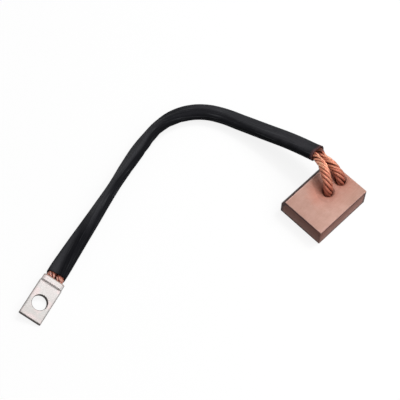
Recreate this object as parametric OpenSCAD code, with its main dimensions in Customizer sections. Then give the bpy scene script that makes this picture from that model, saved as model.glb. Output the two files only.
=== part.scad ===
// Carbon brush: a copper-graphite block with two stranded pigtails tamped into its
// broad face, one flat sleeve over both, and a terminal pressed flat on their ends.
// Frame: origin at the middle of the block's underside, +Z up, the contact face at -X,
// the pigtails leaving over the +Y side. All sizes in millimetres.

/* [Brush block] */
// Length of the block, from the contact face to its other end
block_length = 28.5; // [26:0.5:36]
// Width of the block across its broad face
block_width = 22.5; // [18:0.5:32]
// Thickness of the block
block_height = 10; // [9:0.5:16]
// Width of the bevel along the edge that the pigtails cross
bevel_width = 2.1; // [1:0.1:4]
// Depth of that bevel down the side
bevel_depth = 3.5; // [1:0.1:5]
// Chamfer on the other edges of the block
edge_chamfer = 0.2; // [0.1:0.1:1]

/* [Pigtail seats] */
// Diameter of each seat drilled for a pigtail
seat_d = 5.6; // [5:0.1:6.5]
// Depth of each seat to its flat floor, before the drill point
seat_depth = 7; // [4:0.5:7.5]
// Distance between the two seats
seat_pitch = 7.8; // [7:0.1:9]
// Distance from the rear seat's centre to the block's end
seat_end_margin = 4.15; // [3.6:0.05:6]
// How far the tamping powder's rim lies below the broad face
powder_recess = 0.4; // [0.2:0.1:1.5]
// Extra depth of the powder's dish where it meets the pigtail
powder_dish = 0.6; // [0.1:0.1:1.2]
// Clearance round the tamping powder, at its seat and at its pigtail
powder_fit = 0.05; // [0.02:0.01:0.1]

/* [Pigtails and sleeve] */
// Diameter of each pigtail inside the sleeve
pigtail_d = 3.7; // [3:0.1:4]
// Diameter of each bare pigtail, where its strands lie looser
bare_pigtail_d = 4; // [3:0.1:4.2]
// Gap between the two pigtails where they lie side by side
pair_gap = 0.1; // [0.05:0.05:0.4]
// Wall of the sleeve
sleeve_wall = 0.4; // [0.3:0.05:0.8]
// Clearance between the pigtails and the sleeve
sleeve_clearance = 0.15; // [0.1:0.05:0.4]

/* [Cable terminal] */
// Length of the terminal from its tip to its mouth
terminal_length = 19; // [17:0.5:26]
// Width of the flattened plate
terminal_width = 10.4; // [9.8:0.1:14]
// Thickness of the flattened plate
plate_thickness = 1.9; // [1.6:0.1:3]
// Diameter of the stud hole
stud_hole_d = 6.6; // [4.3:0.1:7.4]
// Distance from the tip to the centre of the stud hole
hole_from_tip = 7.6; // [5:0.1:9]
// Width of the mouth that is left open round the pigtails
mouth_width = 9.9; // [9.4:0.1:11]
// Height of the mouth
mouth_height = 3.4; // [2.9:0.1:5]
// Length of the raised band at the mouth
mouth_band = 1.7; // [1:0.1:4]
// Length of the step from the raised band down to the plate
mouth_step = 0.5; // [0.4:0.1:2]
// Wall of the tube that the terminal is pressed from
tube_wall = 0.7; // [0.5:0.05:1]
// Depth to which the pigtails reach into the terminal
crimp_depth = 4.5; // [3:0.1:6]
// Clearance between the pressed pigtails and the terminal
crimp_fit = 0.05; // [0.02:0.01:0.1]

/* [Hidden] */
$fn = 64;
EPS = 0.01;
FLOOR_GAP = 0.05;                  // the sleeve's lowest line above the surface it lies on

// Block
face_z = block_height;             // the broad face that the pigtails leave
seat_r = seat_d / 2;
seat_floor = face_z - seat_depth;
drill_point = seat_r / tan(59);    // height of a 118 degree drill point
rear_seat_x = block_length / 2 - seat_end_margin;
front_seat_x = rear_seat_x - seat_pitch;

// Section of the pair and of the sleeve round it
pair_offset = (pigtail_d + pair_gap) / 2;
sleeve_inner_r = pigtail_d / 2 + sleeve_clearance;
sleeve_outer_r = sleeve_inner_r + sleeve_wall;
SLEEVE_END_POINTS = 6;             // points round each half of the sleeve's section
sleeve_flat = cos(90 / (SLEEVE_END_POINTS - 1));
PIGTAIL_SIDES = 8;

// Terminal: its mouth's middle before it is rolled, and the turn of its length from +X. It
// rests on one long edge, and the roll lifts its other edge off the surface.
TERMINAL_AT = [-105.8, 53.8, 0];
TERMINAL_TURN = 17.4;
TERMINAL_ROLL = 20;
rest_y = (terminal_width - plate_thickness) / 2;
deburr = 0.2;
seam_gap = 0.15;                   // hairline between the two pressed walls at the tip
seam_depth = 0.8;
pocket_width = mouth_width - 2 * tube_wall;
mouth_gap = mouth_height - 2 * tube_wall;
pressed_gap = plate_thickness - 2 * tube_wall;
pressed_w = (pocket_width - pair_gap) / 2 - crimp_fit;
pressed_offset = (pressed_w + pair_gap) / 2;

// The lead from the terminal to the block: x, y, how far it has risen as a share of the
// block's thickness, and the turn of its flat section, with the front pigtail rising
LEAD = [
    [-103.6, 54.5, 0,   -9],
    [ -97.7, 56.4, 0,    8],
    [ -88.1, 59.2, 0,   27],
    [ -78,   62.1, 0,   43],
    [ -68,   65.1, 0,   57],
    [ -58,   68.1, 0,   66],
    [ -48,   71.2, 0,   56],
    [ -38,   74,   0,   50],
    [ -30,   75.6, 0,   58],
    [ -24,   76.1, 0,   54],
    [ -18,   75.6, 0,   40],
    [ -12.5, 73.8, 0,   30],
    [  -7.5, 70.7, 0,   26],
    [  -3.3, 66.3, 0,   25],
    [   0,   60.5, 0.02, 24],
    [   3.2, 51.5, 0.1, 22],
    [   6.1, 40,   0.38, 20],
    [   8.6, 27.5, 0.78, 19],
    [  10.5, 14.3, 1.14, 20]
];

// The bare pigtails from the sleeve to their seats: the share of the way that each still
// has to go across the block, the distance from its seats' line, and the height above
// the broad face
FRONT_TAIL = [
    [0.88, 11.6, 6],
    [0.76,  8.8, 6.6],
    [0.5,   5.8, 6.6],
    [0.24,  2.7, 5.4],
    [0.06,  0.6, 2.8]
];
REAR_TAIL = [
    [0.62, 11.7, 3.7],
    [0.43,  8.8, 4.3],
    [0.3,   5.8, 4.5],
    [0.24,  2.7, 3.6],
    [0.14,  0.6, 1.6]
];

function unit(v) = v / norm(v);
function last(list) = list[len(list) - 1];

// Points round a unit section: the sleeve's stadium and a pigtail's polygon
function stadium(half_gap, r) = [
    for (end = [1, -1], i = [0 : SLEEVE_END_POINTS - 1])
        let (a = 180 * i / (SLEEVE_END_POINTS - 1) - 90)
            [end * (half_gap + r * cos(a)), end * r * sin(a)]
];
function round_section(half_w, half_h) = [
    for (i = [0 : PIGTAIL_SIDES - 1])
        let (a = 360 * (i + 0.5) / PIGTAIL_SIDES) [half_w * cos(a), half_h * sin(a)]
];

// A station is its middle, its across and up directions, and the pair's offset from it
function station_frame(along, turn) =
    let (side = unit(cross(along, [0, 0, 1])), up = cross(side, along))
        [cos(turn) * side + sin(turn) * up, cos(turn) * up - sin(turn) * side];

function lead_z(p) =
    FLOOR_GAP + p[2] * block_height + pair_offset * abs(sin(p[3])) + sleeve_outer_r;
lead_points = [for (p = LEAD) [p[0], p[1], lead_z(p)]];
terminal_dir = [cos(TERMINAL_TURN), sin(TERMINAL_TURN), 0];
terminal_frame = station_frame(terminal_dir, -TERMINAL_ROLL);
rest_axis = TERMINAL_AT + rest_y * station_frame(terminal_dir, 0)[0]
            + [0, 0, plate_thickness / 2];

// A place inside the terminal: how far behind its mouth, how far across from its middle,
// and the opening that it is in the middle of
function pressed_place(depth, across, gap) =
    rest_axis - depth * terminal_dir + (across - rest_y) * terminal_frame[0]
    + (tube_wall + gap / 2 - plate_thickness / 2) * terminal_frame[1];
mouth_point = pressed_place(0, 0, mouth_gap);

function lead_along(i) =
    let (before = i == 0 ? mouth_point : lead_points[i - 1],
         after = i == len(LEAD) - 1 ? lead_points[i] + lead_points[i] - lead_points[i - 1]
                                    : lead_points[i + 1])
        unit(after - before);
lead_frames = [for (i = [0 : len(LEAD) - 1]) station_frame(lead_along(i), LEAD[i][3])];

// Rings of one section placed on its stations
function ring(middle, frame, section) =
    [for (p = section) middle + p[0] * frame[0] + p[1] * frame[1]];
function lead_rings(section) =
    [for (i = [0 : len(LEAD) - 1]) ring(lead_points[i], lead_frames[i], section)];

// The pressed end of a pigtail in the terminal: depth behind the mouth and opening there
PRESSED = [
    [crimp_depth - 4 * crimp_fit, pressed_gap],
    [mouth_band + mouth_step, pressed_gap],
    [mouth_band, mouth_gap],
    [0, mouth_gap]
];
function pressed_rings(hand) =
    let (flat = cos(180 / PIGTAIL_SIDES))
    [for (p = PRESSED)
        ring(pressed_place(p[0], hand * pressed_offset, p[1]), terminal_frame,
             round_section(pressed_w / 2 / flat, (p[1] / 2 - crimp_fit) / flat))];

function paired_rings(hand) =
    [for (i = [0 : len(LEAD) - 1])
        ring(lead_points[i] + hand * pair_offset * lead_frames[i][0], lead_frames[i],
             round_section(pigtail_d / 2, pigtail_d / 2))];

// The bare end of a pigtail, from the sleeve to the floor of its seat
function tail_points(hand, tail, seat_x) =
    let (from = last(lead_points) + hand * pair_offset * last(lead_frames)[0])
    [for (p = tail) [seat_x + p[0] * (from[0] - seat_x), p[1], face_z + p[2]]];
function tail_rings(hand, tail, seat_x) =
    let (from = last(lead_points) + hand * pair_offset * last(lead_frames)[0],
         bare = tail_points(hand, tail, seat_x),
         top = [seat_x, 0, face_z - powder_recess],
         bottom = [seat_x, 0, seat_floor + 6 * powder_fit],
         points = concat([from], bare, [top, bottom], [2 * bottom - top]))
    [for (i = [1 : len(points) - 2])
        let (along = unit(points[i + 1] - points[i - 1]),
             side = unit([-1, 0, 0] + along[0] * along),
             up = cross(side, along),
             turn = i < len(bare) ? last(LEAD)[3] * (1 - i / len(bare)) : 0)
        ring(points[i],
             [cos(turn) * side + sin(turn) * up, cos(turn) * up - sin(turn) * side],
             round_section(bare_pigtail_d / 2, bare_pigtail_d / 2))];

// Faces between neighbouring rings of n points each
function side_faces(n, rings, base, outward) = [
    for (k = [0 : rings - 2], i = [0 : n - 1])
        let (a = base + k * n + i, b = base + k * n + (i + 1) % n)
            each outward ? [[a, b + n, a + n], [a, b, b + n]]
                         : [[a, a + n, b + n], [a, b + n, b]]
];

module solid_sweep(rings) {
    n = len(rings[0]);
    count = len(rings);
    polyhedron(
        points = [for (r = rings) each r],
        faces = concat(side_faces(n, count, 0, true),
                       [[for (i = [n - 1 : -1 : 0]) i],
                        [for (i = [0 : n - 1]) (count - 1) * n + i]]),
        convexity = 10);
}

module hollow_sweep(outer, inner) {
    n = len(outer[0]);
    count = len(outer);
    base = n * count;
    far = (count - 1) * n;
    polyhedron(
        points = concat([for (r = outer) each r], [for (r = inner) each r]),
        faces = concat(
            side_faces(n, count, 0, true),
            side_faces(n, count, base, false),
            [for (i = [0 : n - 1]) let (j = (i + 1) % n)
                each [[i, base + j, j], [i, base + i, base + j],
                      [far + i, far + j, base + far + j],
                      [far + i, base + far + j, base + far + i]]]),
        convexity = 10);
}

// A tube pressed to a flat section, lying along X from x0 to x1 on the surface
module flat_tube(width, thickness, x0, x1) {
    translate([x0, 0, thickness / 2]) rotate([90, 0, 90]) linear_extrude(x1 - x0) {
        square([width - thickness, thickness], center = true);
        for (end = [1, -1])
            translate([end * (width - thickness) / 2, 0]) circle(d = thickness);
    }
}

module block_outline() {
    half_w = block_width / 2;
    c = edge_chamfer;
    polygon([[c - half_w, 0], [half_w - c, 0], [half_w, c],
             [half_w, block_height - bevel_depth],
             [half_w - bevel_width, block_height],
             [c - half_w, block_height], [-half_w, block_height - c], [-half_w, c]]);
}

module chamfered_rectangle(width, height) {
    x = width / 2;
    y = height / 2;
    c = edge_chamfer;
    polygon([[c - x, -y], [x - c, -y], [x, c - y], [x, y - c],
             [x - c, y], [c - x, y], [-x, y - c], [-x, c - y]]);
}

module seat(x) {
    translate([x, 0, seat_floor]) {
        cylinder(d = seat_d, h = seat_depth + 1);
        translate([0, 0, -drill_point]) cylinder(r1 = 0, r2 = seat_r, h = drill_point);
    }
}

module brush_block() {
    color([0.78, 0.56, 0.50])
    difference() {
        intersection() {
            rotate([90, 0, 90])
                linear_extrude(block_length, center = true) block_outline();
            linear_extrude(block_height) chamfered_rectangle(block_length, block_width);
            translate([0, 0, block_height / 2]) rotate([90, 0, 0])
                linear_extrude(block_width, center = true)
                    chamfered_rectangle(block_length, block_height);
        }
        seat(front_seat_x);
        seat(rear_seat_x);
    }
}

module tamping_powder(x) {
    r_out = seat_r - powder_fit;
    r_in = bare_pigtail_d / 2 + powder_fit;
    rim = face_z - powder_recess;
    bed = seat_floor + 5 * powder_fit;
    color([0.36, 0.16, 0.11])
    translate([x, 0, 0]) rotate_extrude()
        polygon([[0, seat_floor - drill_point * r_out / seat_r], [r_out, seat_floor],
                 [r_out, rim], [r_in, rim - powder_dish], [r_in, bed], [0, bed]]);
}

module pigtail(hand, tail, seat_x) {
    color([0.85, 0.53, 0.40])
    solid_sweep(concat(pressed_rings(hand), paired_rings(hand),
                       tail_rings(hand, tail, seat_x)));
}

module insulating_sleeve() {
    color([0.13, 0.13, 0.14])
    hollow_sweep(lead_rings(stadium(pair_offset, sleeve_outer_r)),
                 lead_rings(stadium(pair_offset, sleeve_inner_r / sleeve_flat)));
}

module terminal_pocket() {
    step_end = mouth_band + mouth_step;
    top = tube_wall + mouth_gap;
    low = tube_wall + pressed_gap;
    translate([0, pocket_width / 2, 0]) rotate([90, 0, 0]) linear_extrude(pocket_width)
        polygon([[-crimp_depth, tube_wall], [1, tube_wall], [1, top],
                 [-mouth_band, top], [-step_end, low], [-crimp_depth, low]]);
}

module cable_terminal() {
    step_end = mouth_band + mouth_step;
    hole_x = hole_from_tip - terminal_length;
    color([0.86, 0.85, 0.84])
    translate(rest_axis) rotate([TERMINAL_ROLL, 0, TERMINAL_TURN])
    translate([0, rest_y, -plate_thickness / 2])
    difference() {
        union() {
            flat_tube(terminal_width, plate_thickness, -terminal_length, -step_end);
            hull($fn = 32) {
                flat_tube(terminal_width, plate_thickness, -step_end - EPS, -step_end);
                flat_tube(mouth_width, mouth_height, -mouth_band, EPS - mouth_band);
            }
            flat_tube(mouth_width, mouth_height, -mouth_band, 0);
        }
        terminal_pocket();
        translate([hole_x, 0, -1]) cylinder(d = stud_hole_d, h = plate_thickness + 2);
        for (z = [0, plate_thickness], flip = z == 0 ? 0 : 180)
            translate([hole_x, 0, z]) rotate([flip, 0, 0]) translate([0, 0, -EPS])
                cylinder(d1 = stud_hole_d + 2 * (deburr + EPS), d2 = stud_hole_d,
                         h = deburr + EPS);
        translate([-terminal_length - 1, -pocket_width / 2,
                   (plate_thickness - seam_gap) / 2])
            cube([seam_depth + 1, pocket_width, seam_gap]);
    }
}

brush_block();
tamping_powder(front_seat_x);  // tamping_powder_front
tamping_powder(rear_seat_x);  // tamping_powder_rear
pigtail(1, FRONT_TAIL, front_seat_x);  // pigtail_front
pigtail(-1, REAR_TAIL, rear_seat_x);  // pigtail_rear
insulating_sleeve();
cable_terminal();
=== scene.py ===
import functools
import math

import bmesh
import bpy
import numpy as np
from mathutils import Matrix, Vector


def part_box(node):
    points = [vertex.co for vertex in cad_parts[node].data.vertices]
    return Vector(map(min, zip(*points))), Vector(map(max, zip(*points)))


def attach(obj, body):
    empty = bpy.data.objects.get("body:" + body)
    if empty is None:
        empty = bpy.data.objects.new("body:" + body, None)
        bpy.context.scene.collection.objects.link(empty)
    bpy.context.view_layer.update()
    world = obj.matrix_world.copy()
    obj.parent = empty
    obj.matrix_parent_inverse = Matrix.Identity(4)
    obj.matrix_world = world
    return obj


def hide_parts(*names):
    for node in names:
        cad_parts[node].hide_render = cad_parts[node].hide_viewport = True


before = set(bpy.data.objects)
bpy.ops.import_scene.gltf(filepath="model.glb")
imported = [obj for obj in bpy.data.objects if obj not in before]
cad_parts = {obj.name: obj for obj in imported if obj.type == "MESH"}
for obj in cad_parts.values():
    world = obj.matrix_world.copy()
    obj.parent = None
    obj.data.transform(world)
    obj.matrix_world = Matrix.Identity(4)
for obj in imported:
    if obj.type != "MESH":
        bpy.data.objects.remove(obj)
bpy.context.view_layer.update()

MM = 0.001

# ---- sizes, as in the part's source
BLOCK_LOW, BLOCK_HIGH = (np.array(corner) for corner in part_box("brush_block"))
BLOCK_LENGTH, BLOCK_WIDTH, BLOCK_HEIGHT = map(float, BLOCK_HIGH - BLOCK_LOW)
BEVEL_WIDTH = 2.1 * MM
BEVEL_DEPTH = 3.5 * MM

SEAT_D = 5.6 * MM
SEAT_DEPTH = 7 * MM
SEAT_PITCH = 7.8 * MM
SEAT_END_MARGIN = 4.15 * MM
POWDER_RECESS = 0.4 * MM
POWDER_DISH = 0.6 * MM
POWDER_FIT = 0.05 * MM
REAR_SEAT_X = BLOCK_LENGTH / 2 - SEAT_END_MARGIN
FRONT_SEAT_X = REAR_SEAT_X - SEAT_PITCH
SEAT_FLOOR = BLOCK_HEIGHT - SEAT_DEPTH
SEATS_X = (FRONT_SEAT_X, REAR_SEAT_X)
DRILL_POINT = math.radians(118)

PIGTAIL_D = 3.7 * MM
BARE_PIGTAIL_D = 4 * MM
PAIR_GAP = 0.1 * MM
PAIR_OFFSET = (PIGTAIL_D + PAIR_GAP) / 2
SLEEVE_CLEARANCE = 0.15 * MM
SLEEVE_WALL = 0.4 * MM
SLEEVE_INNER_R = PIGTAIL_D / 2 + SLEEVE_CLEARANCE
SLEEVE_OUTER_R = SLEEVE_INNER_R + SLEEVE_WALL
FLOOR_GAP = 0.05 * MM

TERMINAL_AT = np.array([-105.8, 53.8, 0]) * MM
TERMINAL_TURN = math.radians(17.4)
TERMINAL_ROLL = math.radians(20)
TERMINAL_LENGTH = 19 * MM
TERMINAL_WIDTH = 10.4 * MM
PLATE_THICKNESS = 1.9 * MM
STUD_HOLE_D = 6.6 * MM
HOLE_FROM_TIP = 7.6 * MM
MOUTH_WIDTH = 9.9 * MM
MOUTH_HEIGHT = 3.4 * MM
MOUTH_BAND = 1.7 * MM
MOUTH_STEP = 0.5 * MM
TUBE_WALL = 0.7 * MM
CRIMP_DEPTH = 4.5 * MM
CRIMP_FIT = 0.05 * MM
POCKET_WIDTH = MOUTH_WIDTH - 2 * TUBE_WALL
MOUTH_GAP = MOUTH_HEIGHT - 2 * TUBE_WALL
PRESSED_GAP = PLATE_THICKNESS - 2 * TUBE_WALL
PRESSED_WIDTH = (POCKET_WIDTH - PAIR_GAP) / 2 - CRIMP_FIT
PRESSED_OFFSET = (PRESSED_WIDTH + PAIR_GAP) / 2
REST_Y = (TERMINAL_WIDTH - PLATE_THICKNESS) / 2

# The lead from the terminal to the block: x and y in millimetres, the rise as a share of the
# block's thickness, and the turn of the flat section in degrees
LEAD = [
    (-103.6, 54.5, 0, -9), (-97.7, 56.4, 0, 8), (-88.1, 59.2, 0, 27), (-78, 62.1, 0, 43),
    (-68, 65.1, 0, 57), (-58, 68.1, 0, 66), (-48, 71.2, 0, 56), (-38, 74, 0, 50),
    (-30, 75.6, 0, 58), (-24, 76.1, 0, 54), (-18, 75.6, 0, 40), (-12.5, 73.8, 0, 30),
    (-7.5, 70.7, 0, 26), (-3.3, 66.3, 0, 25), (0, 60.5, 0.02, 24), (3.2, 51.5, 0.1, 22),
    (6.1, 40, 0.38, 20), (8.6, 27.5, 0.78, 19), (10.5, 14.3, 1.14, 20),
]
# The bare pigtails: share of the way still to go across, distance from the seats' line and
# height above the broad face, both in millimetres
FRONT_TAIL = [(0.88, 11.6, 6), (0.76, 8.8, 6.6), (0.5, 5.8, 6.6), (0.24, 2.7, 5.4),
              (0.06, 0.6, 2.8)]
REAR_TAIL = [(0.62, 11.7, 3.7), (0.43, 8.8, 4.3), (0.3, 5.8, 4.5), (0.24, 2.7, 3.6),
             (0.14, 0.6, 1.6)]

UP = np.array([0.0, 0.0, 1.0])

# ---- wear and fine detail, made here alone
SEAT_WEAR = 0.4 * MM
EDGE_WEAR = 0.06 * MM
CRUMB_RISE = 0.2 * MM
# The powder's crumbs: heights of their waves and grains in millimetres, how many kinds of wave,
# and the radians they turn in a metre of radius
CRUMB_WAVES, CRUMB_GRAINS = 0.16, 0.07
WAVES, WAVE_DRIFT = 9, 900
POWDER_AROUND = 72

# A pigtail is pinched where it leaves the sleeve, and its strands spread at some stations past it
PINCHED_PIGTAIL_D = 3.45 * MM
SPREAD = 1.1
SPREAD_STATIONS = (3, 4, 5)
# How the pigtails darken towards their seats, partly tarnish and partly painted shade: reach, bend
# and depth
STAIN_AND_SHADE_REACH, STAIN_AND_SHADE_BEND, STAIN_AND_SHADE_DEPTH = 16.5 * MM, 1.05, 0.95
ROPE_STEP = 0.5 * MM
STRANDS, LAY_LENGTH, LOOSENESS = 6, 14 * MM, 0.09
STRAND_SHARE, FLAT_STRAND_SHARE = 0.31, 0.42
WIRES, WIRE_LAY, WIRE_DEPTH, WIRE_CORNERS = 12, 8 * MM, 0.08, 4.0
# Steps of the strands' finish: in a metre along them, from one to the next, and across one
FIBRE_ALONG, FIBRE_APART, FIBRE_ACROSS = 60.0, 7.3, 4.0

# The terminal's step is farther from its mouth and lower than in the part, its tip farther out
BAND_LENGTH, STEP_LENGTH = 2.4 * MM, 0.3 * MM
BAND_HEIGHT = MOUTH_HEIGHT - 0.15 * MM
TIP_BURR = 0.3 * MM
EDGE_ROLL, ROLL_REACH = 0.12 * MM, 0.1 * MM
HOLE_SLANT = (-0.24 * MM, 0.22 * MM)
SEAM_GAP = 0.15 * MM
TERMINAL_AROUND = 64
HOLE_AROUND = 96

SLEEVE_STEP = 0.7 * MM
SLEEVE_AROUND = 56
SLEEVE_SLACK = 1.03
RIM_WIDTH = 0.9 * MM
MOUTH_GAPE, GAPE_REACH = 0.45 * MM, 2.2 * MM
MOUTH_TAPER, TAPER_REACH = 0.12 * MM, 2.5 * MM
SLEEVE_TUCK, TUCK_REACH = 1.9 * MM, 1.5 * MM
FLAT_DIP, DIP_REACH = 0.16 * MM, 0.45 * PAIR_OFFSET
# Creases in the sleeve: share of its length, width along it in millimetres, which way round in
# degrees, and depth in millimetres; they fade over CREASE_SPREAD degrees
CREASES = [(0.35, 2.0, 290, 0.12), (0.42, 1.3, 300, 0.2), (0.455, 0.9, 285, 0.16),
           (0.49, 1.3, 310, 0.18), (0.53, 1.2, 290, 0.16), (0.57, 1.4, 300, 0.12),
           (0.50, 3.5, 110, -0.14), (0.61, 2.2, 80, 0.12)]
CREASE_SPREAD = 55
# Folds along the sleeve: where each starts and ends as a share of its length, its place across,
# its width and its depth, all in millimetres; each runs out over a share of the length
FOLDS = [(0.84, 1.01, -2.2, 0.45, 0.22), (0.66, 0.87, 1.3, 0.5, 0.18),
         (0.44, 0.68, -0.4, 0.5, 0.24), (0.2, 0.45, 0.9, 0.5, 0.2), (0.02, 0.24, -1.2, 0.6, 0.12)]
FOLD_RUN_OUT = 0.04

CAMERA_AT = Vector((-0.20072, -0.12956, 0.45583))
CAMERA_AIM = Vector((-0.03544, 0.03886, 0))
CAMERA_LENS = 107.24
FLOOR_Z = -0.02 * MM
FLOOR_WHITE = 0.86
FLOOR_GREY = 0.13
WORLD_LIGHT = 0.20


# ---- camera
def make_camera():
    """A long lens looking down on the block from its contact-face side."""
    data = with_settings(bpy.data.cameras.new("camera"), lens=CAMERA_LENS, sensor_width=36,
                         clip_start=0.01, clip_end=20)
    camera = new_object("camera", data)
    place_and_aim(camera, CAMERA_AT, CAMERA_AIM)
    bpy.context.scene.camera = camera


def with_settings(thing, **settings):
    """Sets attributes of a camera, a lamp, a modifier or a node."""
    for name, value in settings.items():
        setattr(thing, name, value)
    return thing


def new_object(name, data):
    thing = bpy.data.objects.new(name, data)
    bpy.context.collection.objects.link(thing)
    return thing


def place_and_aim(thing, place, aim):
    """Puts a camera or a lamp at a place and turns it towards another."""
    thing.location = place
    thing.rotation_euler = (aim - place).to_track_quat("-Z", "Y").to_euler()


# ---- curves and frames
def unit(v):
    return v / np.linalg.norm(v)


def run_along(points):
    """How far each point lies from the first, along the line through them all."""
    return np.concatenate([[0], np.cumsum(np.linalg.norm(np.diff(points, axis=0), axis=1))])


def smooth_path(stations, step):
    """A smooth curve through rows of values whose first three are a place, about a step apart."""
    rows = np.array(stations, dtype=float)
    knots = run_along(rows[:, :3])
    slopes = np.gradient(rows, knots, axis=0, edge_order=2 if len(rows) > 2 else 1)
    count = max(2, int(round(knots[-1] / step)) + 1)
    out = []
    for t in np.linspace(0, knots[-1], count):
        i = min(int(np.searchsorted(knots, t, side="right")) - 1, len(rows) - 2)
        h = knots[i + 1] - knots[i]
        u = (t - knots[i]) / h
        out.append((2 * u**3 - 3 * u**2 + 1) * rows[i] + (u**3 - 2 * u**2 + u) * h * slopes[i]
                   + (3 * u**2 - 2 * u**3) * rows[i + 1] + (u**3 - u**2) * h * slopes[i + 1])
    return np.array(out)


def ease(t):
    """A smooth step from 0 to 1."""
    t = min(max(t, 0.0), 1.0)
    return t * t * (3 - 2 * t)


def swell(distance, reach, power=2):
    """1 where the distance is 0, falling away to 0 past a reach."""
    return np.exp(-((distance / reach) ** power))


def turned(side, up, turn):
    """The across and up directions of a section turned about its path, front pigtail rising."""
    c, s = math.cos(turn), math.sin(turn)
    return c * side + s * up, c * up - s * side


def station_frame(along, turn):
    side = unit(np.cross(along, UP))
    return turned(side, np.cross(side, along), turn)


def flat_loop(half_straight, radius, count, shift):
    """Points round a flat section with half-round edges: across, up and the way outwards.

    They are evenly spaced, from the lower left."""
    straight = 2 * half_straight
    half_way = straight + math.pi * radius
    points = []
    for i in range(count):
        s = 2 * half_way * (i + shift) / count
        sign = 1 if s < half_way else -1
        s -= half_way * (sign < 0)
        a = max(s - straight, 0) / radius - math.pi / 2
        nx, ny = (0, -1) if s < straight else (math.cos(a), math.sin(a))
        x = min(s, straight) - half_straight + radius * nx
        points.append((sign * x, sign * radius * ny, sign * nx, sign * ny))
    return points


# ---- mesh helpers
def mesh_object(name, verts, faces, edges=(), **marks):
    """A mesh piece at the origin; marks hold a number or a vector for each of its points."""
    mesh = bpy.data.meshes.new(name)
    mesh.from_pydata([tuple(v) for v in verts], edges, faces, shade_flat=False)
    for label, values in marks.items():
        mark_points(mesh, label, values)
    return new_object(name, mesh)


def mark_points(mesh, label, values):
    values = np.array(values, dtype=np.float32)
    kind, field = ("FLOAT", "value") if values.ndim == 1 else ("FLOAT_VECTOR", "vector")
    mesh.attributes.new(label, kind, "POINT").data.foreach_set(field, values.ravel())


def bridge(n, a, b):
    """Faces between two rings of n points, whose first points are numbers a and b."""
    return [(a + i, a + (i + 1) % n, b + (i + 1) % n, b + i) for i in range(n)]


def quads_between(rings, n, start=0, flip=False):
    """Faces between neighbouring rings of n points."""
    faces = sum((bridge(n, start + k * n, start + (k + 1) * n) for k in range(rings - 1)), [])
    return [face[::-1] for face in faces] if flip else faces


def outward(piece):
    """Turns the faces of a closed mesh outwards."""
    bm = bmesh.new()
    bm.from_mesh(piece.data)
    bmesh.ops.recalc_face_normals(bm, faces=bm.faces)
    bm.to_mesh(piece.data)
    bm.free()


def apply_modifiers(piece, sharp_from=None):
    """Replaces a piece's mesh by its finished one; edges past an angle in degrees are sharp."""
    depsgraph = bpy.context.evaluated_depsgraph_get()
    mesh = bpy.data.meshes.new_from_object(piece.evaluated_get(depsgraph),
                                           preserve_all_data_layers=True, depsgraph=depsgraph)
    piece.modifiers.clear()
    piece.data = mesh
    if sharp_from:
        mesh.shade_smooth()
        mesh.set_sharp_from_angle(angle=math.radians(sharp_from))


def finish_piece(piece, material, node):
    piece.data.materials.clear()
    piece.data.materials.append(material)
    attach(piece, "root")
    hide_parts(node)
    return piece


# ---- node helpers
def add_node(tree, kind, **settings):
    return with_settings(tree.nodes.new(kind), **settings)


def feed(node, *in_order, **named):
    """Sets or links a node's inputs, in order or by name with _ for a space."""
    pairs = [*zip(node.inputs, in_order)]
    pairs += [(node.inputs[name.replace("_", " ")], value) for name, value in named.items()]
    for socket, value in pairs:
        if isinstance(value, bpy.types.NodeSocket):
            socket.id_data.links.new(value, socket)
        elif socket.type == "RGBA":
            socket.default_value = (*value, 1.0)
        else:
            socket.default_value = value
    return node


def maths(operation, *values):
    """A Math node on sockets and numbers, or a chain of them when there are more than two."""
    if len(values) > 2:
        values = (maths(operation, *values[:-1]), values[-1])
    tree = next(v for v in values if isinstance(v, bpy.types.NodeSocket)).id_data
    return feed(add_node(tree, "ShaderNodeMath", operation=operation), *values).outputs[0]


plus, minus, times, over, larger, smaller, above, below, absolute, root = (
    functools.partial(maths, operation) for operation in
    ("ADD", "SUBTRACT", "MULTIPLY", "DIVIDE", "MAXIMUM", "MINIMUM", "GREATER_THAN", "LESS_THAN",
     "ABSOLUTE", "SQRT"))


def span(a, b):
    return root(plus(times(a, a), times(b, b)))


def ramp(value, low, high, to_low=0.0, to_high=1.0):
    """A value mapped from one range to another and kept inside it."""
    node = add_node(value.id_data, "ShaderNodeMapRange", clamp=True)
    return feed(node, value, low, high, to_low, to_high).outputs["Result"]


def mixed(mask, a, b):
    node = add_node(mask.id_data, "ShaderNodeMix", data_type="RGBA")
    return feed(node, Factor=mask, A=a, B=b).outputs["Result"]


def layered(colour, *layers):
    """A colour with others laid over it in turn, each through its mask."""
    for mask, laid in layers:
        colour = mixed(mask, colour, laid)
    return colour


def noise(vector, scale, detail=3.0, roughness=0.55):
    node = add_node(vector.id_data, "ShaderNodeTexNoise")
    return feed(node, Vector=vector, Scale=scale, Detail=detail, Roughness=roughness).outputs["Fac"]


def bump(height, strength, distance):
    node = add_node(height.id_data, "ShaderNodeBump")
    return feed(node, Strength=strength, Distance=distance, Height=height).outputs["Normal"]


def axes(vector):
    """The three numbers of a vector."""
    return feed(add_node(vector.id_data, "ShaderNodeSeparateXYZ"), vector).outputs


def vector_maths(operation, *vectors, **named):
    node = add_node(vectors[0].id_data, "ShaderNodeVectorMath", operation=operation)
    output = "Value" if operation in ("DISTANCE", "LENGTH") else "Vector"
    return feed(node, *vectors, **named).outputs[output]


def place_in_mm(tree):
    """Object coordinates in millimetres."""
    place = add_node(tree, "ShaderNodeTexCoord").outputs["Object"]
    return vector_maths("SCALE", place, Scale=1 / MM)


def attribute(tree, name, output="Fac"):
    return add_node(tree, "ShaderNodeAttribute", attribute_name=name).outputs[output]


def new_material(name):
    material = bpy.data.materials.new(name)
    material.use_nodes = True
    return material, material.node_tree, material.node_tree.nodes["Principled BSDF"]


def add_socket(tree, name, kind, in_out="INPUT"):
    return tree.interface.new_socket(name, in_out=in_out, socket_type="NodeSocket" + kind)


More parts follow.
